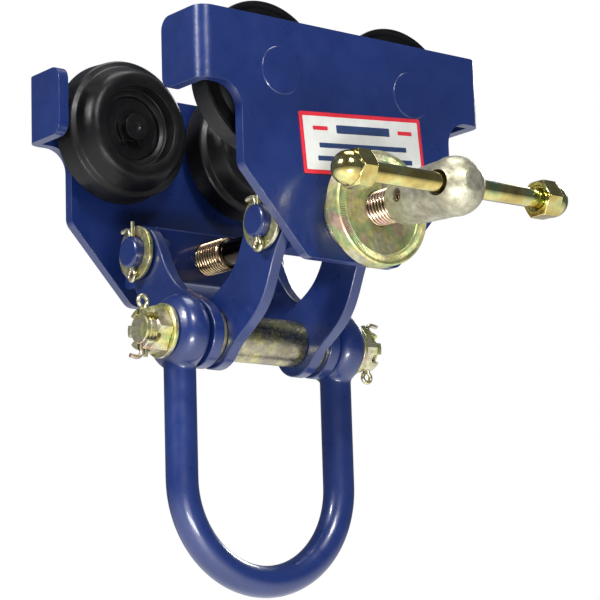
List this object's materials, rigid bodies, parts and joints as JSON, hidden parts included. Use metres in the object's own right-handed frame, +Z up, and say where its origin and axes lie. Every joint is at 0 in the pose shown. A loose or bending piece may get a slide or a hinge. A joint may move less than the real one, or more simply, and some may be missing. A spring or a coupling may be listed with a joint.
{
  "type": "beam trolley",
  "caption": "Push beam trolley: flanged wheels on two bent side plates, a tommy-bar screw that sets the flange width, folding links and a load shackle.",
  "frame": {"origin": "middle of the plane that the four wheels run on, which is the top of the beam's lower flange", "axes": "+X along the beam, -Y the side with the screw handle, +Z up"},
  "size_m": [0.2478, 0.3694, 0.3946],
  "materials": {
    "blue_paint": "gloss enamel",
    "wheel": "black satin paint",
    "zinc": "yellow-passivated zinc plate",
    "dull_zinc": "dull zinc plate on a forging",
    "steel": "bright steel",
    "label": "printed label plate without lettering"
  },
  "bodies": {
    "front_side": {"front_side_plate": "blue_paint", "front_nut_block": "blue_paint", "front_left_axle": "blue_paint", "front_left_circlip": "steel", "front_left_pin_washer": "zinc", "front_left_pin_cotter": "zinc", "front_right_axle": "blue_paint", "front_right_circlip": "steel", "front_right_pin_washer": "zinc", "front_right_pin_cotter": "zinc", "label_plate": "label"},
    "front_left_wheel": {"front_left_wheel": "wheel", "front_left_bearing": "steel"},
    "front_right_wheel": {"front_right_wheel": "wheel", "front_right_bearing": "steel"},
    "rear_side": {"rear_side_plate": "blue_paint", "rear_nut_block": "blue_paint", "rear_left_axle": "blue_paint", "rear_left_circlip": "steel", "rear_left_pin_washer": "zinc", "rear_left_pin_cotter": "zinc", "rear_right_axle": "blue_paint", "rear_right_circlip": "steel", "rear_right_pin_washer": "zinc", "rear_right_pin_cotter": "zinc"},
    "rear_left_wheel": {"rear_left_wheel": "wheel", "rear_left_bearing": "steel"},
    "rear_right_wheel": {"rear_right_wheel": "wheel", "rear_right_bearing": "steel"},
    "front_links": {"front_left_link": "blue_paint", "front_right_link": "blue_paint"},
    "rear_links": {"rear_left_link": "blue_paint", "rear_right_link": "blue_paint"},
    "load_bolt": {"load_bolt": "zinc", "spacer_sleeve": "zinc", "left_spacer_washer": "zinc", "left_nut_washer": "zinc", "left_castle_nut": "zinc", "left_nut_cotter": "zinc", "right_spacer_washer": "zinc", "right_nut_washer": "zinc", "right_castle_nut": "zinc", "right_nut_cotter": "zinc"},
    "shackle": {"shackle": "blue_paint"},
    "screw_carriage": {"rod_end_washer": "zinc"},
    "screw": {"screw_rod": "zinc", "handle_hub": "dull_zinc", "spring_pin": "steel", "rod_end_cotter": "zinc"},
    "tommy_bar": {"tommy_bar": "zinc", "left_acorn_nut": "zinc", "right_acorn_nut": "zinc"},
    "lock_washer": {"lock_washer": "zinc"},
    "lock_nut": {"lock_nut": "zinc"}
  },
  "joints": [
    {"name": "screw_slide", "type": "slide", "parent": "front_side", "child": "screw_carriage", "axis": [0, -1, 0], "range_m": [-0.01501, 0.02701]},
    {"name": "screw_turn", "type": "hinge", "parent": "screw_carriage", "child": "screw", "pos_m": [0, 0, -0.0553], "axis": [0, 1, 0], "range_deg": [-1800.9, 3241.62]},
    {"name": "tommy_bar_slide", "type": "slide", "parent": "screw", "child": "tommy_bar", "axis": [1, 0, 0], "range_m": [-0.05, 0.05]},
    {"name": "lock_nut_travel", "type": "slide", "parent": "front_side", "child": "lock_washer", "axis": [0, -1, 0], "range_m": [0, 0.014]},
    {"name": "lock_nut_turn", "type": "hinge", "parent": "lock_washer", "child": "lock_nut", "pos_m": [0, -0.107, -0.0553], "axis": [0, 1, 0], "range_deg": [0, 1680.84]},
    {"name": "front_link_fold", "type": "hinge", "parent": "front_side", "child": "front_links", "pos_m": [0, -0.0646, -0.0553], "axis": [-1, 0, 0], "range_deg": [-11.88, 21.38]},
    {"name": "bolt_level", "type": "hinge", "parent": "front_links", "child": "load_bolt", "pos_m": [0, 0, -0.124], "axis": [1, 0, 0], "range_deg": [-11.89, 21.39]},
    {"name": "rear_link_fold", "type": "hinge", "parent": "front_links", "child": "rear_links", "pos_m": [0, 0, -0.124], "axis": [1, 0, 0], "range_deg": [-23.77, 42.79]},
    {"name": "rear_side_level", "type": "hinge", "parent": "rear_links", "child": "rear_side", "pos_m": [0, 0.0646, -0.0553], "axis": [-1, 0, 0], "range_deg": [-11.89, 21.39]},
    {"name": "shackle_swing", "type": "hinge", "parent": "load_bolt", "child": "shackle", "pos_m": [0, 0, -0.124], "axis": [1, 0, 0], "range_deg": [-75, 75]},
    {"name": "front_left_wheel_roll", "type": "hinge", "parent": "front_side", "child": "front_left_wheel", "pos_m": [-0.0575, -0.107, 0.038], "axis": [0, 1, 0], "continuous": true},
    {"name": "front_right_wheel_roll", "type": "hinge", "parent": "front_side", "child": "front_right_wheel", "pos_m": [0.0575, -0.107, 0.038], "axis": [0, 1, 0], "continuous": true},
    {"name": "rear_left_wheel_roll", "type": "hinge", "parent": "rear_side", "child": "rear_left_wheel", "pos_m": [-0.0575, 0.107, 0.038], "axis": [0, 1, 0], "continuous": true},
    {"name": "rear_right_wheel_roll", "type": "hinge", "parent": "rear_side", "child": "rear_right_wheel", "pos_m": [0.0575, 0.107, 0.038], "axis": [0, 1, 0], "continuous": true}
  ],
  "couplings": [
    {"joint": "screw_turn", "follows": "front_link_fold", "ratio": 151.52},
    {"joint": "screw_slide", "follows": "front_link_fold", "m_per_rad": 0.072343},
    {"joint": "bolt_level", "follows": "front_link_fold", "ratio": 1},
    {"joint": "rear_link_fold", "follows": "front_link_fold", "ratio": 2},
    {"joint": "rear_side_level", "follows": "front_link_fold", "ratio": 1},
    {"joint": "lock_nut_turn", "follows": "lock_nut_travel", "rad_per_m": 2094.4}
  ]
}
